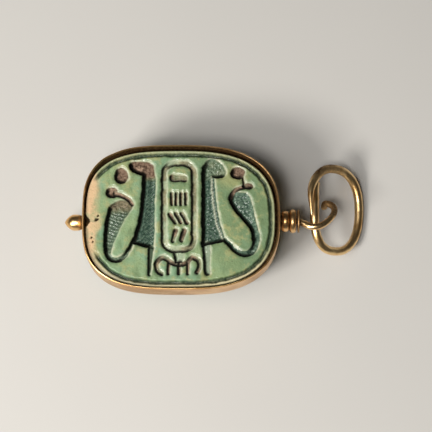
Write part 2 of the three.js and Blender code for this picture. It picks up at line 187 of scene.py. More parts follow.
def edge_points(angle, inset):
    """Points on the oval for angles in radians, in from the stone's edge by the inset."""
    power = 2 / squareness(np.cos(angle))
    x = (HALF_LENGTH - inset) * signed_power(np.cos(angle), power)
    y = (HALF_WIDTH - inset) * signed_power(np.sin(angle), power)
    return np.stack([x, y], -1)


def even_angles(count):
    """Angles whose points lie evenly along the oval."""
    fine = np.linspace(0, math.tau, 4001)
    length = length_along(edge_points(fine, 0))
    return np.interp(np.linspace(0, length[-1], count + 1)[:-1], length, fine)


def lay_in_oval(square, inset):
    """Takes points of the square from -1 to 1 into the oval."""
    reach = np.maximum(np.abs(square).max(1), 1e-9)
    rim = np.abs(square / reach[:, None])
    power = squareness(square[:, 0])
    pull = np.maximum(rim[:, 0] ** power + rim[:, 1] ** power, 1) ** (-1 / power)
    scale = 1 - (1 - pull) * reach**2
    return square * scale[:, None] * np.array([HALF_LENGTH - inset, HALF_WIDTH - inset])


# %% [markdown]
# ## The figures on the base
# Two rearing cobras and two tall feathers flank an oval frame, above a small beaded collar: old and
# common signs of royal protection. Each figure is a closed outline or a line of changing width,
# drawn in millimetres from the middle of the stone. Distances to these outlines shape the carving:
# positive inside, so that a wall, a rounded floor and a painted shadow at the wall's foot all follow from one
# number.

# %% Outlines and distances
def through(points, steps=8):
    """A smooth line through the points."""
    known = np.array([points[0], *points, points[-1]], float)
    t = np.linspace(0, 1, steps, endpoint=False)[:, None]
    pieces = []
    for a, b, c, d in zip(known[:-3], known[1:-2], known[2:-1], known[3:]):
        bend = (2 * a - 5 * b + 4 * c - d) * t**2 + (3 * b - a - 3 * c + d) * t**3
        pieces.append(0.5 * (2 * b + (c - a) * t + bend))
    return np.vstack([*pieces, known[-1:]])


def outline(*stretches):
    """Smooth stretches that meet at corners and close on themselves."""
    return np.vstack([through(stretch)[:-1] for stretch in stretches])


def ellipse(x, y, half_wide, half_high):
    angle = np.linspace(0, math.tau, 40, endpoint=False)
    return np.stack([x + half_wide * np.cos(angle), y + half_high * np.sin(angle)], 1)


def depth_inside(points, shape):
    """Distance to a closed outline, positive inside it."""
    nearest = np.full(len(points), np.inf)
    inside = np.zeros(len(points), bool)
    x, y = points.T
    for (ax, ay), (bx, by) in zip(shape, np.roll(shape, -1, 0)):
        along = np.array([bx - ax, by - ay])
        t = np.clip(((x - ax) * along[0] + (y - ay) * along[1]) / (along @ along + 1e-12), 0, 1)
        nearest = np.minimum(nearest, (x - ax - t * along[0]) ** 2 + (y - ay - t * along[1]) ** 2)
        crosses = (ay > y) != (by > y)
        inside ^= crosses & (x < ax + (y - ay) * along[0] / (along[1] if along[1] else 1e-12))
    return np.where(inside, 1, -1) * np.sqrt(nearest)


def depth_in_stroke(points, line, start_width, end_width):
    """Distance to the edge of a line of changing width, positive inside it."""
    path = through(line, 6)
    best = np.full(len(points), -np.inf)
    for i, (a, b) in enumerate(zip(path[:-1], path[1:])):
        along = b - a
        t = np.clip((points - a) @ along / (along @ along + 1e-12), 0, 1)
        away = np.linalg.norm(points - a - t[:, None] * along, axis=1)
        share = (i + t) / (len(path) - 1)
        best = np.maximum(best, (start_width + (end_width - start_width) * share) / 2 - away)
    return best


# %% The figures
LEFT_FEATHER = outline(
    [(-4.85, -2.55), (-4.5, -1.2), (-4.2, 0.1), (-3.95, 2.1), (-3.86, 4.39)],
    [(-3.84, 4.39), (-4.5, 4.6), (-5.12, 5.1), (-5, 5.72), (-3.95, 5.86), (-2.85, 5.5), (-2.52, 4.3),
     (-2.53, 1.7), (-2.58, -1.3), (-2.7, -3.1)],
    [(-2.7, -3.1), (-4.85, -2.55)],
)
RIGHT_FEATHER = outline(
    [(2.12, -2.85), (2.12, 5.2)],
    [(2.12, 5.2), (2.6, 5.88), (3.3, 6.12), (4, 5.75), (4.55, 4.85), (4.38, 4.3), (3.79, 4.12),
     (3.42, 4.1)],
    [(3.42, 4.1), (3.52, 2.6), (3.79, 0.48), (4.1, -0.8), (4.58, -2.3)],
    [(4.58, -2.3), (2.12, -2.85)],
)
LEFT_HOOD = outline(
    [(-7.18, 1.21), (-6.5, 1.75), (-5.67, 1.85), (-4.63, 1.47)],
    [(-4.63, 1.47), (-5.2, 0.5), (-5.92, -0.69), (-6.5, -2.1), (-6.97, -3.6)],
    [(-6.97, -3.6), (-7.4, -3.95), (-7.66, -3.1), (-7.66, -1.6), (-7.46, 0.1), (-7.18, 1.21)],
)
RIGHT_HOOD = outline(
    [(4.78, 1.95), (5.3, 2.62), (6.1, 2.68), (6.9, 2.35), (7.25, 1.3), (7.6, -0.2), (7.9, -1.4), (8, -2.3)],
    [(8, -2.3), (7.19, -2.3)],
    [(7.19, -2.3), (7, -1.2), (6.29, -0.19), (5.5, 0.65), (4.78, 1.95)],
)
LEFT_HEAD = ellipse(-6.87, 2.64, 0.62, 0.54)
RIGHT_HEAD = ellipse(6.75, 3.3, 0.56, 0.3)
LEFT_SUN = ellipse(-5.95, 4.34, 0.72, 0.8)
RIGHT_SUN = ellipse(5.77, 4.65, 0.72, 0.62)
LEFT_NECK = [(-6.55, 2.55), (-5.8, 2.25), (-5.15, 1.85), (-4.86, 1.45)]
RIGHT_NECK = [(6.56, 3.23), (5.85, 3.03), (5.3, 2.65), (5, 2.1)]
RIGHT_THREAD = [(6.3, 4.2), (6.4, 3.4)]
LEFT_TAIL = [(-7.3, -3.5), (-7, -4.05), (-6.45, -4.24), (-5.8, -4), (-5.3, -3.43), (-4.6, -2)]
RIGHT_TAIL = [(7.6, -2.1), (7.42, -2.93), (6.95, -3.45), (6.29, -3.6), (5.63, -3.33), (4.5, -2.2)]
LEFT_QUILL = [(-2.94, -3), (-3.11, -5.65)]
RIGHT_QUILL = [(2.56, -2.6), (2.68, -5.45)]
RIGHT_VANE = [(3.1, 4.4), (3.18, 2.6), (3.42, 0.5), (3.72, -0.8), (4.3, -2.2), (5.2, -3.05), (6.2, -3.55)]

# %% [markdown]
# The oval frame once held a name. Rows of plain strokes that spell nothing stand in its place.

# %% The frame, its strokes and the beaded collar
FRAME_MIDDLE = np.array([-0.18, 1.2])
FRAME_HALF = np.array([1.79, 4.68])
FRAME_CORNER = 1.35
FRAME_BAND = 0.56
ROWS = [
    # height, how many, how far apart, sideways lean, length down, width
    (4.1, 1, 0, 1.1, 0.1, 0.64),
    (2, 4, 0.47, 0, 1.1, 0.29),
    (0, 3, 0.6, 0.5, 0.9, 0.34),
    (-1.75, 2, 0.85, -0.3, 1, 0.4),
]
COLLAR_BAND = [(-1.87, -5.6), (-2.25, -5.3), (-2.36, -4.55), (-1.74, -3.95), (-0.9, -4.45), (-0.1, -4.68),
               (0.66, -4.5), (1.2, -3.98), (1.8, -4.25), (1.9, -4.85), (1.62, -5.45)]
COLLAR_DROPS = [-1.14, -0.12, 0.8]
KNOT = np.array([(-0.75, -3.3), (0.4, -3.3), (0.22, -4.5), (-0.58, -4.5)])


def depth_in_frame(points):
    """Distance to the edge of the frame's band, positive inside it."""
    corner = np.abs(points - FRAME_MIDDLE) - (FRAME_HALF - FRAME_CORNER)
    outside = np.linalg.norm(np.maximum(corner, 0), axis=1) + np.minimum(corner.max(1), 0) - FRAME_CORNER
    return np.minimum(-outside, outside + FRAME_BAND)


def stroke_lines():
    for height, count, pitch, lean, down, width in ROWS:
        for i in range(count):
            x = FRAME_MIDDLE[0] + (i - (count - 1) / 2) * pitch
            yield [(x - lean / 2, height + down / 2), (x + lean / 2, height - down / 2)], width


# %% [markdown]
# ## Depth and tint of the carving
# The figures are cut as a burin cuts: a steep wall on the left and below, with the deepest line along its
# foot and a painted shadow over that foot, then a floor that swells up like a pillow and runs out in a
# gentler slope on the right and above, where a painted highlight lines the edge. Glaze has rounded every
# edge. The floors carry fine cuts and crumbs: slanting barbs in the feathers, short bars across the hood, and
# a rough, bare ground in the heads, suns and frame.

# %% Carving
BEVEL = 0.06
WALL = 0.18
SLOPE = 0.42
FOOT_SHADE_SHARE = 0.44
FOOT_SHADE_FADE = 0.12
STEEP_SIDE = np.array([-0.75, -0.66])
SIDE_STEP = 0.12
SHOULDER_WIDTH = 0.3
SHOULDER_DEPTH = 0.075
FIGURE_DEPTH = 0.92
SMALL_DEPTH = 0.62
LINE_DEPTH = 0.52
STROKE_DEPTH = 0.45
BORDER_INSET = 0.42
BORDER_WIDTH = 0.48
BORDER_DEPTH = 0.38
BORDER_CORNERS = 360


def barbs(x, y, pitch, slope):
    """Fine parallel cuts, 1 at the bottom of a cut."""
    wave = np.sin(math.tau * (y - slope * x) / pitch + 2.2 * mottle(x, y, 0.5))
    return np.clip(0.5 + 0.5 * wave, 0, 1) ** 1.4


def crumbs(x, y):
    """A broken, grainy surface, 0 to 1."""
    return 0.55 * mottle(x, y, 0.13) + 0.45 * mottle(x + 9, y - 4, 0.24)


def figures(points):
    """Yields each figure's inner distance, depth, swell and half-width of its floor, relief and tints."""
    inside, stroke = partial(depth_inside, points), partial(depth_in_stroke, points)
    x, y = points.T
    one = np.ones(len(points))
    grainy = crumbs(x, y)
    lumpy = 0.15 * grainy + 0.2 * mottle(x + 11, y + 5, 0.42)
    patchy = smooth(0.25, 0.7, mottle(x + 2, y + 7, 0.8))
    on_head = smooth(3.7, 4.4, y)
    left_barbs = barbs(x, y, 0.4, 0.9) * smooth(-3.75, -3.35, x - 0.12 * y) * (1 - on_head)
    head_ball = smooth(1, 0.2, np.hypot((x + 4.15) / 0.95, (y - 5.15) / 0.65))
    left_relief = 0.19 * left_barbs + 0.06 * grainy + on_head * lumpy - 0.3 * head_ball
    yield (inside(LEFT_FEATHER), FIGURE_DEPTH, 0.54, 0.55, left_relief,
           {"teal": one - on_head, "earth": on_head})
    vane = stroke(RIGHT_VANE, 0.16, 0.12)
    right_relief = (0.12 + 0.1 * on_head) * grainy + 0.05 * barbs(x, y, 0.34, 0.6) + 0.8 * on_head * lumpy
    right_relief = right_relief - 0.14 * smooth(-0.06, 0.05, vane)
    yield (inside(RIGHT_FEATHER), FIGURE_DEPTH, 0.52, 0.6, right_relief,
           {"teal": one - 0.3 * on_head, "crumbly": 0.6 * on_head, "pale": 0.8 * smooth(-0.08, 0.04, vane)})
    on_chest = smooth(0.3, 1.3, y)
    on_hood = smooth(-3.6, -3, y)
    left_bars = 0.11 * barbs(x, y, 0.37, -0.35) * (1 - on_chest) * on_hood
    left_relief = left_bars + 0.12 * grainy + 0.6 * on_chest * lumpy
    cobra = np.maximum(inside(LEFT_HOOD), stroke(LEFT_TAIL, 0.62, 0.36))
    yield (cobra, FIGURE_DEPTH - 0.2 * (1 - on_hood), 0.54 - 0.2 * (1 - on_hood), 0.5, left_relief,
           {"teal": 0.9 - 0.75 * on_chest, "earth": 0.1 + 0.7 * on_chest})
    on_tail = smooth(-1.7, -2.7, y)
    cobra = np.maximum(inside(RIGHT_HOOD), stroke(RIGHT_TAIL, 0.74, 0.42))
    yield (cobra, FIGURE_DEPTH - 0.24 * on_tail, 0.54 - 0.2 * on_tail, 0.55, 0.17 * grainy, {"teal": one})
    for blob, swell in ((LEFT_HEAD, 0.52), (LEFT_SUN, 0.5), (RIGHT_SUN, 0.54), (RIGHT_HEAD, 0.34)):
        yield inside(blob), 0.1 + SMALL_DEPTH, swell, 0.6, lumpy, {"earth": one}
    for line, start, end in ((LEFT_NECK, 0.5, 0.42), (RIGHT_NECK, 0.42, 0.4), (RIGHT_THREAD, 0.22, 0.2)):
        yield stroke(line, start, end), LINE_DEPTH, 0.22, 0.22, 0.08 * grainy, {"earth": one}
    # The left quill is painted in shadow all over.
    yield (stroke(LEFT_QUILL, 0.6, 0.3), LINE_DEPTH, 0.1, 0.25, 0.03 * grainy,
           {"teal": 0.6 * one, "foot": 0.7 * one})
    yield (stroke(RIGHT_QUILL, 0.84, 0.6), SMALL_DEPTH, 0.36, 0.4, 0.08 * grainy,
           {"teal": 0.8 * one, "pale": 0.3 * one})
    yield (depth_in_frame(points), LINE_DEPTH, 0.28, 0.27, 0.6 * lumpy,
           {"earth": 0.1 + 0.5 * patchy, "pale": 0.6 - 0.5 * patchy})
    yield (inside(KNOT), LINE_DEPTH, 0.3, 0.4, 0.05 * grainy,
           {"teal": 0.4 * one, "pale": 0.4 * one})
    bare = {"earth": 0.45 + 0.5 * patchy, "teal": 0.3 * (1 - patchy)}
    yield stroke(COLLAR_BAND, 0.47, 0.44), LINE_DEPTH, 0.2, 0.22, 0.5 * lumpy, bare
    for drop in COLLAR_DROPS:
        bead_string = stroke([(drop, -4.5), (drop - 0.04, -5.6)], 0.38, 0.3)
        yield bead_string, LINE_DEPTH, 0.12, 0.18, 0.07 * grainy, bare
    for line, width in stroke_lines():
        yield stroke(line, 1.25 * width, width), STROKE_DEPTH, 0.1, 0.2, 0.5 * lumpy, bare


def border_distance(points):
    """How far each point lies from the middle of the border line, and how clear the line is there."""
    x, y = points.T
    inwards = BORDER_INSET + 0.25 * smooth(-5, -8, x) * smooth(-1, -4, y)
    angle = np.arctan2(signed_power(y / HALF_WIDTH, 1.45), signed_power(x / HALF_LENGTH, 1.45))
    edge = depth_inside(points, edge_points(even_angles(BORDER_CORNERS), 0))
    wandering = 0.05 * (mottle(4 * np.cos(angle) + 20, 4 * np.sin(angle), 0.5) - 0.5)
    worn = smooth(-7.6, -8.5, x) * smooth(4.6, 3.7, y) * smooth(-4.2, -3.2, y)
    return np.abs(edge - inwards - wandering), 1 - worn


PITS = [
    # x, y, half length, half height, turn in degrees
    (-8.38, -0.12, 0.25, 0.13, 35),
    (-8.26, 0.26, 0.15, 0.09, 70),
    (-8.9, -1.95, 0.16, 0.08, 70),
    (-8.75, -2.35, 0.12, 0.06, 60),
]


def hand_cut(points):
    """Moves points a little, so that every edge drawn through them wanders as a hand-cut one does."""
    x, y = points.T
    wide = np.stack([mottle(x, y + 40, 0.5), mottle(x + 40, y, 0.5)], 1) - 0.5
    tight = np.stack([mottle(x, y + 60, 0.2), mottle(x + 60, y, 0.2)], 1) - 0.5
    return points + 0.09 * wide + 0.06 * tight


def carve(points):
    """The depth of the carving at each point, and how far each tint covers it."""
    points = hand_cut(points[:, :2])
    x, y = points.T
    depth = np.zeros(len(points))
    names = ("teal", "earth", "crumbly", "pale", "foot", "edge", "crest")
    tints = {name: np.zeros(len(points)) for name in names}
    stepped = figures(points + SIDE_STEP * STEEP_SIDE)
    for (inner, deep, swell, half, relief, covered), (inner_there, *_) in zip(figures(points), stepped):
        steep = smooth(0.5, -0.5, (inner_there - inner) / SIDE_STEP)
        shoulder = SHOULDER_DEPTH * smooth(-SHOULDER_WIDTH, 0, inner)
        floor = deep - swell * smooth(0.1, half, inner)
        cut = smooth(-BEVEL, WALL - BEVEL, inner) * (floor - SHOULDER_DEPTH)
        slope = smooth(-BEVEL, min(SLOPE, half), inner) * (deep - swell - SHOULDER_DEPTH)
        crumbled = (relief - relief.mean()) * smooth(0.08, 0.2, inner)
        depth = np.maximum(depth, shoulder + cut * steep + slope * (1 - steep) + crumbled)
        over = smooth(-0.02, 0.07, inner)
        crest = 1 - (relief - relief.min()) / 0.2
        for name, share in (*covered.items(), ("crest", crest)):
            tints[name] = np.maximum(tints[name] * (1 - over), over * share)
        # Painted shadow: a near-black band along the foot of each steep wall, on the left and below, where
        # the low lamp's shadow falls.
        reach = FOOT_SHADE_SHARE * deep
        foot = smooth(-BEVEL, BEVEL / 2, inner) * smooth(reach + FOOT_SHADE_FADE, 0.6 * reach, inner)
        tints["foot"] = np.maximum(tints["foot"], steep * foot)
        # Painted highlight: a pale line along the outline on the gentle side, which faces the lamp.
        tints["edge"] = np.maximum(tints["edge"], (1 - steep) * np.exp(-(((inner + 0.05) / 0.1) ** 2)))
    from_border, clear = border_distance(points)
    groove = smooth(BORDER_WIDTH / 2 + 0.05, 0.02, from_border) * clear
    depth = np.maximum(depth, BORDER_DEPTH * groove * (0.75 + 0.5 * mottle(x, y, 0.8)))
    tints["groove"] = smooth(0.27, 0.08, from_border) * clear
    for px, py, wide, high, turn in PITS:
        along = (x - px) * math.cos(math.radians(turn)) + (y - py) * math.sin(math.radians(turn))
        across = (y - py) * math.cos(math.radians(turn)) - (x - px) * math.sin(math.radians(turn))
        pit = smooth(1.1, 0.6, np.hypot(along / wide, across / high) + 0.4 * (mottle(x, y, 0.12) - 0.5))
        depth = np.maximum(depth, 0.3 * pit)
        # The pits are filled with the same near-black painted shade.
        tints["foot"] = np.maximum(tints["foot"], pit)
    return depth, tints


# %% [markdown]
# ## The beetle's back
# Nothing of the beetle shows while it lies on its back, so it is finished plainly: a smooth dome with
# a worn flat on its highest part, a line across it behind the shield and one between the wing
# cases, a low head with a toothed front edge, and legs laid along the sides.

# %% The back as a height
BACK_RISE = 4.3
BACK_SQUARENESS = 2.35
BACK_HALF_LENGTH = 7.45
BACK_HALF_WIDTH = HALF_WIDTH - 0.5
BACK_START_X = -1.55
FLAT_HALF = 2
UNDER_PLATE = FACE_Z - 1.6
NECK_X = 5.3
HEAD_REACH = 3.75
LEGS = [(64, 30), (84, 112), (112, 150)]


def soften_min(a, b, blend):
    """The lower of two heights, with a fillet where they meet."""
    share = np.clip(0.5 + 0.5 * (b - a) / blend, 0, 1)
    return b * (1 - share) + a * share - blend * share * (1 - share)


def dome_height(x, y):
    drop = (1 - (FLAT_HALF / BACK_HALF_LENGTH) ** BACK_SQUARENESS) ** (1 / BACK_SQUARENESS)
    z = np.full(len(x), 2.0)
    for _ in range(12):
        from_middle = x - BACK_START_X * (z / BACK_RISE) ** 1.5
        power = squareness(from_middle)
        across = np.abs(from_middle / BACK_HALF_LENGTH) ** power + np.abs(y / BACK_HALF_WIDTH) ** power
        reach = np.clip(across ** (1 / power), 0, 1)
        down = (1 - reach**BACK_SQUARENESS) ** (1 / BACK_SQUARENESS) / drop
        z = 0.5 * z + 0.5 * BACK_RISE * np.clip(1 - down, 0, 1)
    return np.where(across < 1, z, UNDER_PLATE)


def egg_height(x, y, middle, half):
    inside = 1 - ((x - middle[0]) / half[0]) ** 2 - ((y - middle[1]) / half[1]) ** 2
    return np.where(inside > 0, middle[2] - half[2] * np.sqrt(np.clip(inside, 0, 1)), UNDER_PLATE)


def back_height(points):
    x, y = points.T
    z = dome_height(x, y)
    shield_line = np.abs(x - 0.05 + 0.02 * y**2)
    middle_line = np.where(x < -0.3, np.abs(y), 9)
    front_line = np.abs(x - 3.9 - 0.012 * y**2)
    ridges = 0.03 * smooth(0.2, 1, middle_line) * (0.5 + 0.5 * np.cos(math.tau * y / 1.1)) * (x < -0.4)
    grooves = np.maximum(smooth(0.17, 0.02, shield_line), smooth(0.13, 0.02, middle_line))
    z = z + np.where(z > 0, 0.2 * grooves + 0.12 * smooth(0.12, 0.02, front_line) + ridges, 0)
    head = egg_height(x, y, (NECK_X, 0, 5.95), (HEAD_REACH, 3.5, 3))
    angle = np.arctan2(y / 3.5, (x - NECK_X) / HEAD_REACH)
    reach = np.hypot((x - NECK_X) / HEAD_REACH, y / 3.5)
    notches = smooth(0.1, 0.03, np.abs((np.degrees(angle) + 40) % 20 - 10) / 57.3 * 3)
    head = head + 0.5 * notches * smooth(0.86, 0.98, reach) * (np.abs(np.degrees(angle)) < 41)
    z = soften_min(z, np.minimum(head, UNDER_PLATE), 0.25)
    for side in (-1, 1):
        z = soften_min(z, egg_height(x, y, (NECK_X + 0.75, side * 2.85, 4.55), (0.75, 0.75, 0.75)), 0.1)
        for start, end in LEGS:
            along = edge_points(np.radians(np.linspace(start, end, 9)), 0.78) * np.array([1, side])
            leg = depth_in_stroke(points, along, 0.8, 0.6)
            z = soften_min(z, UNDER_PLATE - 0.75 * np.sqrt(np.clip(leg, 0, None)), 0.05)
    return np.clip(z, 0, UNDER_PLATE)


# %% [markdown]
# ## The stone
# A real scarab is one pebble of soft stone, ground to shape, cut with points and burins, glazed
# and fired. It could be sculpted, but a carved base has hundreds of exact edges, so it is made like
# a fine engraved plate: a grid for the carved face and a coarser one for the back are added, their
# edges are extruded into the plate's rim, and the two are bridged. The functions above then lay
# every point in the oval and push the face down into the carving.

# %% Grids for the face and the back
FACE_CELLS = (272, 196)
BACK_CELLS = (208, 150)
BACK_LEVEL = -100
RIM_ROWS = [
    # inset from the stone's edge, depth below its face
    (0.06, 0.04),
    (0.015, 0.11),
    (0, 0.22),
    (0, 0.6),
    (0, 1),
    (0, 1.3),
    (0.05, 1.44),
    (0.15, 1.49),
]
FACE_INSET = 0.13
BACK_INSET = 0.3


def add_grid(cells, level):
    bpy.ops.mesh.primitive_grid_add(
        x_subdivisions=cells[0], y_subdivisions=cells[1], size=2, location=(0, 0, level)
    )
    grid = bpy.context.object
    bpy.ops.object.transform_apply(location=True)
    return grid


back_grid = add_grid(BACK_CELLS, BACK_LEVEL)
stone = add_grid(FACE_CELLS, 0)
stone.name = "scarab_stone"
edit()
bpy.ops.mesh.region_to_loop()
for row in RIM_ROWS:
    bpy.ops.mesh.extrude_edges_move(TRANSFORM_OT_translate={"value": (0, 0, -1)})
leave_edit()
print("carved face and rim:", len(stone.data.polygons), "faces")

# %% One closed skin
select_only(stone, back_grid)
bpy.ops.object.join()
edit("DESELECT")
bpy.ops.mesh.select_mode(type="EDGE")
bpy.ops.mesh.select_non_manifold(extend=False)
bpy.ops.mesh.bridge_edge_loops()
bpy.ops.mesh.select_all(action="SELECT")
bpy.ops.mesh.normals_make_consistent(inside=False)
bpy.ops.mesh.select_mode(type="VERT")
leave_edit()

raw = points_of(stone)
on_back = raw[:, 2] < BACK_LEVEL / 2
level = np.where(on_back, 0, np.round(-raw[:, 2]).astype(int))
placed = np.zeros_like(raw)
face = ~on_back & (level == 0)
placed[face, :2] = lay_in_oval(raw[face, :2], FACE_INSET)
placed[on_back, :2] = lay_in_oval(raw[on_back, :2], BACK_INSET)
placed[on_back, 2] = back_height(placed[on_back, :2])
for row, (inset, below) in enumerate(RIM_ROWS, 1):
    here = ~on_back & (level == row)
    placed[here, :2] = lay_in_oval(raw[here, :2], inset)
    placed[here, 2] = FACE_Z - below
print("stone points:", len(placed), "of them on the face:", int(face.sum()))

# %% Carve the face
CHIP_MIDDLE = np.array([-HALF_LENGTH - 0.05, -0.26, FACE_Z - 0.5])
CHIP_HALF = np.array([0.54, 0.68, 2])
CHIP_POWER = 1.25
FACE_WAVE = 0.06
FACE_CLEARANCE = 0.012
WAVY_ROWS = 2


def wavy(points):
    x, y = points.T
    broad = mottle(x, y, 2.6) - 0.5
    small = mottle(x + 3, y, 0.7) - 0.5
    return FACE_WAVE * (1.4 * broad + 0.6 * small)


def chip_reach(offset):
    """1 on the edge of the broken hollow, which is nearly a wedge, and less inside it."""
    return (np.abs(offset) ** CHIP_POWER).sum(1) ** (1 / CHIP_POWER)


def chip_away(points):
    """Pushes points out of the broken hollow above the mouth of the bore."""
    from_middle = (points - CHIP_MIDDLE) / CHIP_HALF
    broken = 0.2 * (mottle(points[:, 1] * 1.7, points[:, 2] * 1.7, 0.3) - 0.5)
    reach = chip_reach(from_middle) + broken
    inside = (reach < 1) & (points[:, 0] < CHIP_MIDDLE[0] + CHIP_HALF[0] + 0.2)
    way = from_middle[inside] + np.array([0.35, 0, -0.25])
    way /= chip_reach(way)[:, None]
    moved = points.copy()
    moved[inside] = CHIP_MIDDLE + way * CHIP_HALF
    return moved


depth, tints = carve(placed[face, :2])
face_points = placed[face]
face_points[:, 2] = FACE_Z - FACE_CLEARANCE - depth + wavy(face_points[:, :2]) - FACE_WAVE
placed[face] = face_points
upper_rim = ~on_back & ~face & (level <= WAVY_ROWS)
placed[upper_rim, 2] += wavy(placed[upper_rim, :2]) - FACE_WAVE
placed = chip_away(placed)
placed[:, :2] += STONE_MIDDLE
move_points(stone, placed * MM)
print("deepest carving:", round(float(depth.max()), 2), "mm")

# %% [markdown]
# The bore for the pin was drilled from both ends. A Boolean with a long cylinder cuts it, and the
# tints are painted last, because they are read back from where each point ended up.

# %% Bore and tints
BORE_RADIUS = 0.6
BORE_SIDES = 32
TINTED_DEPTH = 1.3


def combine(piece, operation, other):
    """Cuts the other piece away or joins it on, and removes it."""
    select_only(piece)
    change = piece.modifiers.new("combine", "BOOLEAN")
    change.operation = operation
    change.solver = "EXACT"
    change.object = other
    bpy.ops.object.modifier_apply(modifier=change.name)
    bpy.data.objects.remove(other)


def bore_through(piece, radius):
    bpy.ops.mesh.primitive_cylinder_add(
        vertices=BORE_SIDES, radius=radius * MM, depth=4 * HALF_LENGTH * MM,
        location=(0, 0, AXIS_Z * MM), rotation=(0, math.pi / 2, 0),
    )
    combine(piece, "DIFFERENCE", bpy.context.object)


bore_through(stone, BORE_RADIUS)
final = points_of(stone) / MM - np.append(STONE_MIDDLE, 0)
x, y, z = final.T
_, tints = carve(final)
# Darker towards the right and the top: partly glaze that pooled there, partly painted shade where the lamp's
# light falls off.
tints["pooled_glaze_and_shade"] = smooth(-4, 9, x + 0.5 * y + 3 * (mottle(x, y, 1.9) - 0.5))
tints["straw"] = smooth(2.6, 0.6, np.hypot(x - 5, 1.6 * (y - 4.3)))
tints["cream"] = smooth(-7.9, -8.9, x - 0.9 * (mottle(x, y, 0.9) - 0.5))
for name, values in tints.items():
    paint(stone, name, values * (z > FACE_Z - TINTED_DEPTH))
from_chip = chip_reach((final - CHIP_MIDDLE) / CHIP_HALF)
paint(stone, "broken", smooth(1.2, 1.02, from_chip) * (z > AXIS_Z))
edge_inset = depth_inside(final[:, :2], edge_points(even_angles(OUTLINE_CORNERS), 0))
# The rim is pale with wear all round, and painted lighter towards the bottom as painted light.
rim_wear_and_light = 0.35 + 0.65 * smooth(-2.5, -5.5, y)
paint(stone, "rim", smooth(0.6, 0.3, edge_inset) * rim_wear_and_light * (z > FACE_Z - 2))
select_only(stone)
bpy.ops.object.shade_smooth()
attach(stone, "mounted_stone")
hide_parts("scarab")
print("stone triangles:", sum(len(face.vertices) - 2 for face in stone.data.polygons))


# %% [markdown]
# ## Round sections swept along a line
# Pin, loop and ring are all wire, and wire is a circle swept along a line. A curve with a bevel would
# do for an even wire, but these swell, taper and end in a knob, so a circle is extruded once for
# each station along the line, and the stations are then laid along it, each with a radius of its
# own. The circle is filled, so the first and last stations close the ends.

# %% Wire with a changing radius
def frames_along(path):
    """Two directions across the line at each station, turning as little as they can."""
    tangent = np.gradient(path, axis=0)
    tangent /= np.linalg.norm(tangent, axis=1)[:, None]
    across = np.array([0.0, 0.0, 1.0])
    first = []
    for way in tangent:
        across = across - way * (across @ way)
        across /= np.linalg.norm(across)
        first.append(across)
    first = np.array(first)
    return first, np.cross(tangent, first)


WIRE_SIDES = 32
DENTS = 0.05


def wire(name, path, radius):
    """path holds the stations, radius the wire's radius at each, both in millimetres."""
    bpy.ops.mesh.primitive_circle_add(vertices=WIRE_SIDES, radius=1, fill_type="NGON")
    piece = bpy.context.object
    piece.name = name
    edit()
    for _ in range(len(path) - 1):
        bpy.ops.mesh.extrude_region_move(TRANSFORM_OT_translate={"value": (0, 0, 1)})
    leave_edit()
    raw = points_of(piece)
    station = np.round(raw[:, 2]).astype(int)
    angle = np.arctan2(raw[:, 1], raw[:, 0])
    first, second = frames_along(path)
    size = radius[station] * (1 + DENTS * (mottle(station * 0.35, 2 * np.cos(angle), 1) - 0.5))
    offset = np.cos(angle)[:, None] * first[station] + np.sin(angle)[:, None] * second[station]
    move_points(piece, (path[station] + offset * size[:, None]) * MM)
    close_skin(piece)
    print(name, "stations:", len(path), "faces:", len(piece.data.polygons))
    return piece


def close_skin(piece):
    """Merges doubles, points the faces outwards and smooths all but the sharp edges."""
    select_only(piece)
    edit()
    bpy.ops.mesh.remove_doubles(threshold=1e-7)
    bpy.ops.mesh.normals_make_consistent(inside=False)
    leave_edit()
    smooth_faces()


def spline(points, steps):
    """A smooth line through points in space, with equal steps between stations."""
    fine = through(points, 24)
    length = length_along(fine)
    even = np.linspace(0, length[-1], steps)
    return np.stack([np.interp(even, length, fine[:, i]) for i in range(3)], 1)


# %% [markdown]
# ## Hoops: a profile spun round
# The band, the collar and the washer have one profile all the way round. Each is made as a potter
# would turn it: a small circle with one point for each corner of the profile is spun round the Z
# axis, and its points are then moved to the profile and, for the band, out to the oval.

# %% A spun hoop
SPIN_RADIUS = 10


def hoop(name, corners, stations):
    """Returns the piece, with each point's corner number and station number."""
    bpy.ops.mesh.primitive_circle_add(
        vertices=corners, radius=1, location=(SPIN_RADIUS, 0, 0), rotation=(math.pi / 2, 0, 0)
    )
    piece = bpy.context.object
    piece.name = name
    bpy.ops.object.transform_apply(location=True, rotation=True)
    edit()
    bpy.ops.mesh.spin(steps=stations, angle=math.tau, center=(0, 0, 0), axis=(0, 0, 1))
    bpy.ops.mesh.select_all(action="SELECT")
    bpy.ops.mesh.remove_doubles(threshold=1e-4)
    leave_edit()
    raw = points_of(piece)
    out = np.hypot(raw[:, 0], raw[:, 1]) - SPIN_RADIUS
    turn = np.arctan2(raw[:, 2], out) * corners / math.tau
    corner = np.round(turn).astype(int) % corners
    station = np.round(np.arctan2(raw[:, 1], raw[:, 0]) * stations / math.tau).astype(int) % stations
    return piece, corner, station


# %% [markdown]
# ## The gold band
# A strip of sheet gold bent round the stone, with an inner shelf that the base plate rests on. The
# lip was pressed over by hand, so it is not quite even: its top edge wanders by a few hundredths
# of a millimetre, and it is rounded by wear.

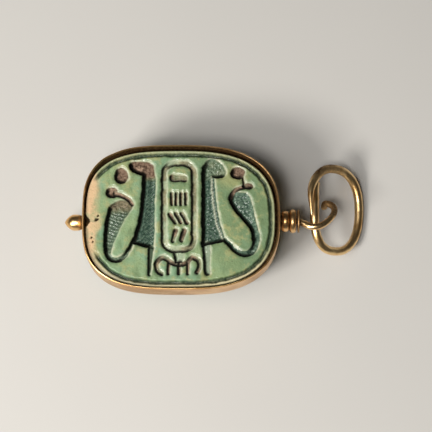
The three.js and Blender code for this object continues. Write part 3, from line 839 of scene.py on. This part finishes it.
# %% Band
BAND_OUT = HALF_WIDTH - (band_high[1] - band_low[1]) / 2
BAND_MIDDLE_X = band_low[0] + HALF_LENGTH - BAND_OUT
BAND_THICK = 0.28
SHELF_Z = FACE_Z - 1.53
SHELF_EDGE = BAND_THICK + 0.42
band_bottom = band_low[2]
for_band = [
    # inset from the band's outer face, height
    (0, band_bottom + 0.07), (0, AXIS_Z + 0.4), (0, RIM_Z - 0.9), (0, RIM_Z - 0.24),
    (0.008, RIM_Z - 0.13), (0.03, RIM_Z - 0.05), (0.068, RIM_Z - 0.008), (0.11, RIM_Z),
    (0.15, RIM_Z - 0.03), (0.175, RIM_Z - 0.09), (0.19, RIM_Z - 0.22), (0.23, RIM_Z - 0.5),
    (BAND_THICK, RIM_Z - 0.75), (BAND_THICK, SHELF_Z + 0.04), (BAND_THICK + 0.04, SHELF_Z),
    (SHELF_EDGE - 0.05, SHELF_Z), (SHELF_EDGE, SHELF_Z - 0.06), (SHELF_EDGE, SHELF_Z - 0.19),
    (SHELF_EDGE - 0.06, SHELF_Z - 0.25), (BAND_THICK + 0.02, SHELF_Z - 0.45),
    (BAND_THICK, SHELF_Z - 0.6), (BAND_THICK, band_bottom + 0.1), (BAND_THICK - 0.06, band_bottom + 0.02),
    (BAND_THICK / 2, band_bottom), (0.06, band_bottom + 0.015),
]
BAND_STATIONS = 288
LIP_WANDER = 0.05

band, corner, station = hoop("gold_setting", len(for_band), BAND_STATIONS)
profile = np.array(for_band)[corner]
angles = even_angles(BAND_STATIONS)[station]
wander = mottle(3 * np.cos(angles) + 9, 3 * np.sin(angles), 0.35)
lip = smooth(RIM_Z - 0.6, RIM_Z - 0.1, profile[:, 1])
inset = BAND_OUT + profile[:, 0] + LIP_WANDER * lip * wander
height = profile[:, 1] - LIP_WANDER * lip * mottle(2 * np.cos(angles), 4 * np.sin(angles), 0.5)
placed = np.column_stack([edge_points(angles, inset), height])
placed[:, 0] += BAND_MIDDLE_X
move_points(band, placed * MM)
close_skin(band)
print("band faces:", len(band.data.polygons))

# %% Hoops round the pin
PIN_STATIONS = 56
EVEN_RADIUS = 0.6


def hoop_round_pin(name, profile, start_x, unevenness):
    """A profile of distances along the pin and radii, uneven outside EVEN_RADIUS."""
    piece, corner, station = hoop(name, len(profile), PIN_STATIONS)
    along, radius = np.array(profile)[corner].T
    around = station * math.tau / PIN_STATIONS
    across, up = np.cos(around), np.sin(around)
    radius = radius * np.where(radius > EVEN_RADIUS, unevenness(along, 2 * across, 2 * up), 1)
    move_points(piece, np.stack([start_x + along, radius * across, AXIS_Z + radius * up], 1) * MM)
    close_skin(piece)
    return piece


# %% [markdown]
# ## The collar
# At the head end the pin turns in a tube soldered to the band: a plain foot, then two fat rolls with a
# neck between them, like beads of wire wound round the tube. The two rolls are half-round, so their
# profile is worked out from half circles.

# %% Collar
PIN_HOLE_RADIUS = 0.42
COLLAR_LENGTH = 1.69
COLLAR_X = band_high[0] - COLLAR_LENGTH
ROLLS = [
    # middle along the pin, half its width, radius at its crown, radius at its feet
    (0.6, 0.33, 1.08, 0.9),
    (1.36, 0.32, 1.2, 0.92),
]


def roll(middle, half, crown, foot):
    angle = np.linspace(math.pi, 0, 9)
    return [(middle + half * math.cos(a), foot + (crown - foot) * math.sin(a) ** 0.8) for a in angle]


collar_profile = [
    (-0.08, PIN_HOLE_RADIUS),
    (-0.08, 0.9),
    (0.15, 0.88),
    *roll(*ROLLS[0]),
    (0.985, 0.86),
    *roll(*ROLLS[1]),
    (COLLAR_LENGTH, 0.8),
    (COLLAR_LENGTH, PIN_HOLE_RADIUS),
]


def out_of_round(along, across, up):
    return 1 + 0.03 * (mottle(across + along, up, 0.8) - 0.5)


collar = hoop_round_pin("collar", collar_profile, COLLAR_X, out_of_round)
bore_through(band, PIN_HOLE_RADIUS)
combine(band, "UNION", collar)
smooth_faces()
print("band with collar:", len(band.data.polygons), "faces")

# %% Dirt, wear and painted shade on the setting
x, y, z = points_of(band).T / MM
on_collar = smooth(COLLAR_X + 0.05, COLLAR_X + 0.15, x)
collar_dirt = on_collar * smooth(0.97, 0.88, np.hypot(y, z - AXIS_Z))
from_middle = np.stack([x - BAND_MIDDLE_X, y], 1)
band_inset = depth_inside(from_middle, edge_points(even_angles(OUTLINE_CORNERS), BAND_OUT))
# Painted shade on the band's inner wall, between the lip and the stone.
inner_wall_shade = (1 - on_collar) * smooth(0.16, 0.2, band_inset) * (z < RIM_Z - 0.05)
cloudy = smooth(0.3, 0.7, mottle(x + 0.6 * z, y, 2.4))
# Below the lip the outer face is painted darker: painted shade, broken up by a patchy film.
outer_shade_and_film = (0.16 + 0.3 * cloudy) * (1 - on_collar) * smooth(RIM_Z - 0.1, RIM_Z - 0.5, z)
paint(band, "grime_and_shade", np.max([collar_dirt, inner_wall_shade, outer_shade_and_film], 0))
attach(band, "mounted_stone")
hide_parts("setting")

# %% [markdown]
# ## The pin
# One piece of gold wire does three things: it ends in a knob at the tail, runs through the stone,
# and past the collar bends into the loop that the ring hangs in. Here it is one line with one
# list of radii, from the far side of the knob to the tucked-in tip of the loop.

# %% Pin
KNOB_Y = -0.14
PIN_RADIUS = 0.3
EYE_WIRE_RADIUS = 0.33
TIP_SHARE = 0.025
washer_middle = (washer_low[0] + washer_high[0]) / 2
washer_x = washer_middle + 0.02
EYE_TURN = [
    (washer_x, 0, AXIS_Z), (12.4, -0.28, 4.95), (13.1, -0.62, 5.2), (14, -0.52, 5.18),
    (14.82, 0.05, 4.85), (15.42, 0.85, 4.35), (15.5, 1.45, 3.92), (15.3, 1.82, 3.62),
    (14.95, 2.04, 3.38), (14.66, 2.1, 3.1), (14.55, 1.95, 2.76), (14.58, 1.7, 2.46),
]
KNOB = [
    # distance along the pin from the knob's flat face, radius
    (-1.77, 0.03), (-1.75, 0.1), (-1.7, 0.19), (-1.62, 0.31), (-1.52, 0.43), (-1.4, 0.55), (-1.26, 0.66),
    (-1.12, 0.74), (-0.98, 0.79), (-0.82, 0.815), (-0.66, 0.82), (-0.5, 0.815), (-0.34, 0.8), (-0.21, 0.765),
    (-0.1, 0.72), (-0.04, 0.68), (0, 0.62), (0.001, 0.3),
]
knob_face = pin_low[0] - KNOB[0][0]
knob_line = np.array([(knob_face + x, KNOB_Y, AXIS_Z) for x, _ in KNOB])
shaft_x = np.linspace(knob_face, washer_x, 12)[1:-1]
shaft_line = np.stack([shaft_x, 0 * shaft_x, 0 * shaft_x + AXIS_Z], 1)
eye_line = spline(EYE_TURN, 100)
eye_way = np.linspace(0, 1, len(eye_line))
tip_way = np.clip(eye_way / TIP_SHARE - (1 / TIP_SHARE - 1), 0, 1)
tip = np.sqrt(np.clip(1 - tip_way**2, 0.02, 1))
eye_radius = EYE_WIRE_RADIUS * (1 + 0.04 * np.sin(9 * eye_way)) * tip
eye_radius = np.minimum(eye_radius, PIN_RADIUS + 0.4 * eye_way)
knob_radius = np.array([r for _, r in KNOB])
radius = np.concatenate([knob_radius, 0 * shaft_x + PIN_RADIUS, eye_radius])
pin = wire("pin_wire", np.vstack([knob_line, shaft_line, eye_line]), radius)
x, y, z = points_of(pin).T / MM
knob_dirt = smooth(knob_face - 0.5, knob_face, x) * (x < 0)
neck_dirt = smooth(washer_x + 0.5, washer_x + 0.1, x) * (x > 0)
# Painted shade over the far part of the loop, which turns away from the light.
hook_shade = 0.85 * smooth(0.1, 0.8, y) * smooth(2.5, 3.1, z) * (x > 13)
paint(pin, "grime_and_shade", np.max([knob_dirt, neck_dirt, hook_shade], 0))
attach(pin, "swivel_pin")
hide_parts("pin")

# %% Washer
WASHER_RADIUS = (washer_high[2] - washer_low[2]) / 2
WASHER_HOLE = EYE_WIRE_RADIUS + 0.1
half_thick = (washer_high[0] - washer_low[0]) / 2
edge_angle = np.linspace(-math.pi / 2, math.pi / 2, 9)
washer_profile = [
    (-half_thick, WASHER_HOLE),
    *((half_thick * math.sin(a), WASHER_RADIUS - half_thick * (1 - math.cos(a))) for a in edge_angle),
    (half_thick, WASHER_HOLE),
]


def ragged(along, across, up):
    return 1 - 0.04 * mottle(across, up, 0.6)


washer = hoop_round_pin("pin_washer", washer_profile, washer_middle, ragged)
x, y, z = points_of(washer).T / MM
paint(washer, "grime_and_shade", 0.6 + 0.4 * smooth(1, 0.5, np.hypot(y, z - AXIS_Z)))
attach(washer, "swivel_pin")
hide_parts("washer")

# %% [markdown]
# ## The ring
# An oval of thick gold wire hangs in the loop and leans down to the ground. Its two ends lie side by
# side next to the loop. One is cut blunt, and the other was hammered to a taper.

# %% Ring
RING_RADIUS = 0.46
RING_LEFT, RING_RIGHT = 12.93, 18.3
RING_HIGH, RING_LOW = 4.75, RING_RADIUS - 0.03
RING_Y = 1.54
RING_HALF_LONG = 4.24
RING_SQUARENESS = 2.3
RING_LEAN = -0.044
RING_FROM, RING_TO = -38, 371
RING_LAP = 1.08
RING_LAP_WAY = np.array([-0.15, 0, 0.98])
START_BEND, END_BEND = 0.5, 0.3
RING_STATIONS = 190

way = np.linspace(0, 1, 150)
turned = np.radians(RING_FROM + (RING_TO - RING_FROM) * way)
rounded_cos = signed_power(np.cos(turned), 2 / RING_SQUARENESS)
rounded_sin = signed_power(np.sin(turned), 2 / RING_SQUARENESS)
along = -RING_HALF_LONG * rounded_sin
ring_middle = np.array([(RING_LEFT + RING_RIGHT) / 2, RING_Y, (RING_HIGH + RING_LOW) / 2])
ring_across = np.array([RING_RIGHT - RING_LEFT, 0, RING_LOW - RING_HIGH]) / 2
ring_line = ring_middle - rounded_cos[:, None] * ring_across
ring_line = ring_line + along[:, None] * np.array([-RING_LEAN, 1, 0])
ring_line = ring_line + RING_LAP * (way[:, None] - 0.5) * RING_LAP_WAY
bend = START_BEND * smooth(-50, 5, np.degrees(turned)) * (1 - smooth(-5, 100, np.degrees(turned)))
ring_line[:, 0] += bend + END_BEND * smooth(335, 371, np.degrees(turned))
ring_line = spline(ring_line, RING_STATIONS)
way = np.linspace(0, 1, len(ring_line))
ring_radius = RING_RADIUS * (0.97 + 0.03 * np.sin(13 * way))
ring_radius = ring_radius * (1 - 0.78 * np.clip((way - 0.86) / 0.14, 0, 1) ** 1.2)
blunt = np.sqrt(np.clip(1 - ((way - 0.01) / 0.01) ** 2, 0.1, 1))
ring_radius = ring_radius * np.where(way < 0.01, blunt, 1)
ring_radius[-1] *= 0.3
ring = wire("hanging_ring", ring_line, ring_radius)
x, y, z = points_of(ring).T / MM
# The ring is painted darker near the ground and over its far bend.
cloudy = smooth(0.25, 0.6, mottle(x, y, 0.8))
underneath = smooth(1.1, 0.2, z)
far_bend = smooth(3.9, 5.2, y) * smooth(17.2, 15.6, x)
paint(ring, "grime_and_shade", np.maximum(0.8 * underneath * cloudy, far_bend * (0.6 + 0.4 * cloudy)))
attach(ring, "swivel_pin")
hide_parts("ring")


# %% [markdown]
# ## Finishes
# A finish is a small program of shader nodes. Writing it as formulas keeps it readable: the class
# below wraps one socket, and adding or multiplying two of them adds the Math nodes for it. Every
# pattern is in millimetres on the object's own coordinates, so that it stays on the piece.

# %% Sockets as numbers
class Value:
    def __init__(self, finish, socket):
        self.finish = finish
        self.socket = socket

    def math(self, operation, first, second):
        made = self.finish.add("Math", {"operation": operation}, {0: first, 1: second})
        return Value(self.finish, made.outputs[0])

    def __add__(self, other):
        return self.math("ADD", self, other)

    def __rsub__(self, other):
        return self.math("SUBTRACT", other, self)

    def __mul__(self, other):
        return self.math("MULTIPLY", self, other)

    __radd__ = __add__

    def either(self, other):
        return self.math("MAXIMUM", self, other)

    def rise(self, start, end):
        """0 below start and 1 above end, smoothly."""
        settings = {"interpolation_type": "SMOOTHSTEP", "clamp": True}
        made = self.finish.add("MapRange", settings, {"Value": self, "From Min": start, "From Max": end})
        return Value(self.finish, made.outputs[0])


class Finish:
    def __init__(self, name):
        self.material = bpy.data.materials.new(name)
        self.material.use_nodes = True
        self.tree = self.material.node_tree
        self.surface = self.tree.nodes["Principled BSDF"]

    def add(self, kind, settings=None, sockets=None):
        """One node: its settings first, then its sockets' values and links."""
        node = self.tree.nodes.new("ShaderNode" + kind)
        for name, value in (settings or {}).items():
            setattr(node, name, value)
        for name, value in (sockets or {}).items():
            self.feed(node.inputs[name], value)
        return node

    def feed(self, socket, value):
        if isinstance(value, Value):
            self.tree.links.new(value.socket, socket)
        elif isinstance(value, bpy.types.NodeSocket):
            self.tree.links.new(value, socket)
        else:
            socket.default_value = value

    def noise(self, size, detail=3, rough=0.55, stretch=(1, 1, 1)):
        """Cloudy values from 0 to 1 whose largest clouds are about size millimetres."""
        place = self.add("TexCoord").outputs["Object"]
        scale = tuple(1000 / size / s for s in stretch)
        mapped = self.add("Mapping", {}, {"Vector": place, "Scale": scale}).outputs[0]
        sockets = {"Vector": mapped, "Scale": 1, "Detail": detail, "Roughness": rough}
        return Value(self, self.add("TexNoise", {}, sockets).outputs[0])

    def painted(self, name):
        return Value(self, self.add("Attribute", {"attribute_name": name}).outputs["Fac"])

    def blend(self, under, over, share):
        """One colour over another. A colour is a link or three linear values."""
        node = self.add("Mix", {"data_type": "RGBA"}, {0: share})
        for socket, colour in ((node.inputs[6], under), (node.inputs[7], over)):
            self.feed(socket, (*colour, 1) if isinstance(colour, tuple) else colour)
        return node.outputs[2]

    def bump(self, height, distance, under=None):
        """Relief of the given height in millimetres."""
        sockets = {"Height": height, "Distance": distance * MM, "Strength": 1}
        if under is not None:
            sockets["Normal"] = under
        return self.add("Bump", {}, sockets).outputs[0]

    def finish(self, **sockets):
        """Sets or links the surface's sockets, whose names have _ for each space."""
        for name, value in sockets.items():
            self.feed(self.surface.inputs[name.replace("_", " ")], value)
        return self.material


def wear(piece, material):
    piece.data.materials.clear()
    piece.data.materials.append(material)


# %% [markdown]
# ## Green glaze
# The glaze on soft stone is thin. It is bluer and darker where it pooled in the figures, yellow and
# matt where it wore off the high ground, and gone from the rough floors, which have a
# brown skin of earth. The painted tints place these, and noise breaks up their edges. Some tints are painted
# light:
# a near-black shadow at the foot of the steep walls, a pale highlight on the edges that face the lamp,
# a lighter lower rim and, mixed with pooling, a darker right and top.

# %% Glazed stone
GREEN = (0.275, 0.38, 0.19)
DEEP_GREEN = (0.15, 0.23, 0.11)
BLUE_GREEN = (0.22, 0.365, 0.22)
STRAW = (0.37, 0.38, 0.17)
CREAM = (0.72, 0.5, 0.29)
PALE_RIM = (0.66, 0.6, 0.37)
TEAL = (0.022, 0.055, 0.038)
LIGHT_TEAL = (0.2, 0.3, 0.215)
EARTH = (0.085, 0.05, 0.032)
PINK_EARTH = (0.47, 0.33, 0.23)
CRUMBS = (0.36, 0.38, 0.3)
SHADOW = (0.003, 0.004, 0.002)
PALE_STONE = (0.6, 0.61, 0.46)
GROOVE_DARK_GREEN = (0.018, 0.04, 0.022)


def glazed_stone():
    glaze = Finish("green_glaze")
    broad = glaze.noise(4, 3)
    patches = glaze.noise(1.3, 4, 0.6)
    streaks = glaze.noise(0.9, 4, 0.6, stretch=(1, 2.6, 1))
    fine = glaze.noise(0.25, 4, 0.65)
    specks = glaze.noise(0.12, 2, 0.5)
    painted = glaze.painted
    crest = painted("crest").rise(0.4, 1)
    glazed_floor = glaze.blend(TEAL, LIGHT_TEAL, fine.rise(0.38, 0.66) * 0.45 + crest * 0.6)
    bare_floor = glaze.blend(EARTH, PINK_EARTH, fine.rise(0.36, 0.6) * 0.35 + crest * 0.65)
    layers = [
        (BLUE_GREEN, broad.rise(0.4, 0.62)),
        # Darker towards the right and the top: partly pooled glaze, partly painted shade.
        (DEEP_GREEN, painted("pooled_glaze_and_shade") * 0.8),
        (STRAW, painted("straw") * 0.7),
        (DEEP_GREEN, streaks.rise(0.46, 0.68) * 0.75),
        (STRAW, patches.rise(0.5, 0.66) * 0.75),
        # Pale worn rim, painted lighter towards the bottom as painted light.
        (PALE_RIM, painted("rim")),
        (CREAM, painted("cream") * (0.3 + patches.rise(0.3, 0.55) * 0.7)),
        # The border groove is painted dark green, nearly black.
        (GROOVE_DARK_GREEN, painted("groove") * (0.75 + fine.rise(0.35, 0.6) * 0.25)),
        # Painted highlight along the outlines on the side that faces the lamp.
        (PALE_STONE, painted("edge") * (0.3 + patches.rise(0.3, 0.6) * 0.45)),
        (glazed_floor, painted("teal")),
        (CRUMBS, painted("crumbly") * (fine.rise(0.35, 0.6) * 0.4 + crest * 0.6)),
        (PALE_STONE, painted("pale") * 0.6),
        (bare_floor, painted("earth")),
        (EARTH, painted("broken") * 0.7),
        # Painted shadow: near black at the foot of the steep walls, in the pits and over the left quill.
        (SHADOW, painted("foot") * (0.94 + fine.rise(0.3, 0.6) * 0.06)),
        (EARTH, specks.rise(0.6, 0.7) * 0.35),
    ]
    colour = GREEN
    for over, share in layers:
        colour = glaze.blend(colour, over, share)
    bare = painted("earth").either(painted("broken")).either(painted("cream") * 0.7)
    dull = bare.either(painted("foot"))
    relief = None
    for cloud, height in ((patches, 0.07), (fine, 0.05), (specks, 0.025)):
        relief = glaze.bump(cloud, height, relief)
    return glaze.finish(Base_Color=colour, Roughness=0.4 + fine * 0.2 + dull * 0.25, Normal=relief,
                        Coat_Weight=(1 - dull) * 0.55, Coat_Roughness=0.18, Coat_IOR=1.5,
                        Specular_IOR_Level=0.2)


wear(stone, glazed_stone())


# %% [markdown]
# ## Old gold
# Ancient gold is rarely pure: this has a little copper, which makes it warm. Handling has covered it
# with tiny scratches and dents, so that its gloss changes from place to place, and a dark
# brown film stays wherever a finger cannot rub. The same painted darkening also lays painted shade on the
# band's inner wall, below its lip and on the far part of the loop.

# %% Gold
def old_gold(name, metal, deep, gloss):
    gold = Finish(name)
    clouds = gold.noise(2.2, 4, 0.6)
    fine = gold.noise(0.25, 4, 0.6)
    scratches = gold.noise(0.5, 3, 0.6, stretch=(6, 0.5, 1))
    pits = gold.noise(0.12, 2, 0.5)
    colour = gold.blend(metal, deep, clouds.rise(0.42, 0.66))
    # The painted darkening is a brown film in the hollows and painted shade where the pieces lie in shadow.
    film_and_shade = gold.painted("grime_and_shade") * (0.7 + fine.rise(0.3, 0.62) * 0.3)
    colour = gold.blend(colour, (0.05, 0.022, 0.01), film_and_shade * 0.95)
    roughness = gloss + clouds * 0.12 + fine * 0.08 + film_and_shade * 0.35
    relief = None
    for cloud, height in ((clouds, 0.05), (scratches, 0.006), (pits, 0.006)):
        relief = gold.bump(cloud, height, relief)
    return gold.finish(Metallic=1, Base_Color=colour, Roughness=roughness, Normal=relief)


wear(band, old_gold("setting_gold", (0.88, 0.56, 0.26), (0.7, 0.4, 0.16), 0.24))
wear(pin, old_gold("pin_gold", (0.95, 0.65, 0.32), (0.82, 0.5, 0.2), 0.2))
wear(washer, old_gold("washer_gold", (0.85, 0.54, 0.25), (0.66, 0.38, 0.15), 0.26))
wear(ring, old_gold("ring_gold", (0.96, 0.69, 0.35), (0.76, 0.46, 0.18), 0.22))

# %% [markdown]
# ## Floor and light
# A plain pale floor and three soft lamps. The strongest stands low on the left and towards the
# viewer, and leaves the left and lower walls of the carving dark. Two weaker cards hang higher, on
# the left and towards the viewer: they lay broad highlights along the gold.

# %% Floor
FLOOR_SIZE = 1.2
bpy.ops.mesh.primitive_plane_add(size=FLOOR_SIZE, location=(0, 0, 0))
floor = bpy.context.object
floor.name = "floor"
paper = Finish("pale_paper")
shades = paper.blend((0.62, 0.61, 0.59), (0.58, 0.57, 0.55), paper.noise(30, 2))
wear(floor, paper.finish(Base_Color=shades, Roughness=0.8))


# %% Lights
def lamp(name, azimuth, height, away, size, power, tint):
    """A square lamp that faces the object. Azimuth 0 is towards the viewer, 90 to the right."""
    turn, lift = math.radians(azimuth), math.radians(height)
    place = Vector((math.sin(turn) * math.cos(lift), -math.cos(turn) * math.cos(lift), math.sin(lift))) * away
    bpy.ops.object.light_add(type="AREA", location=place + aim)
    light = bpy.context.object
    light.name = name
    light.data.shape = "SQUARE"
    light.data.size = size
    light.data.energy = power
    light.data.color = tint
    light.rotation_euler = place.to_track_quat("Z", "Y").to_euler()


lamp("key", -52, 41, 0.24, 0.07, 0.5, (1, 0.96, 0.9))
lamp("side_card", -72, 62, 0.3, 0.14, 0.26, (1, 0.98, 0.95))
lamp("front_card", -30, 72, 0.3, 0.06, 0.3, (1, 0.97, 0.92))
world = bpy.data.worlds.new("studio")
world.use_nodes = True
world.node_tree.nodes["Background"].inputs["Color"].default_value = (1, 0.98, 0.95, 1)
world.node_tree.nodes["Background"].inputs["Strength"].default_value = 0.03
bpy.context.scene.world = world
bpy.context.scene.view_settings.view_transform = "Standard"

# %% Last update
import json

bpy.context.view_layer.update()
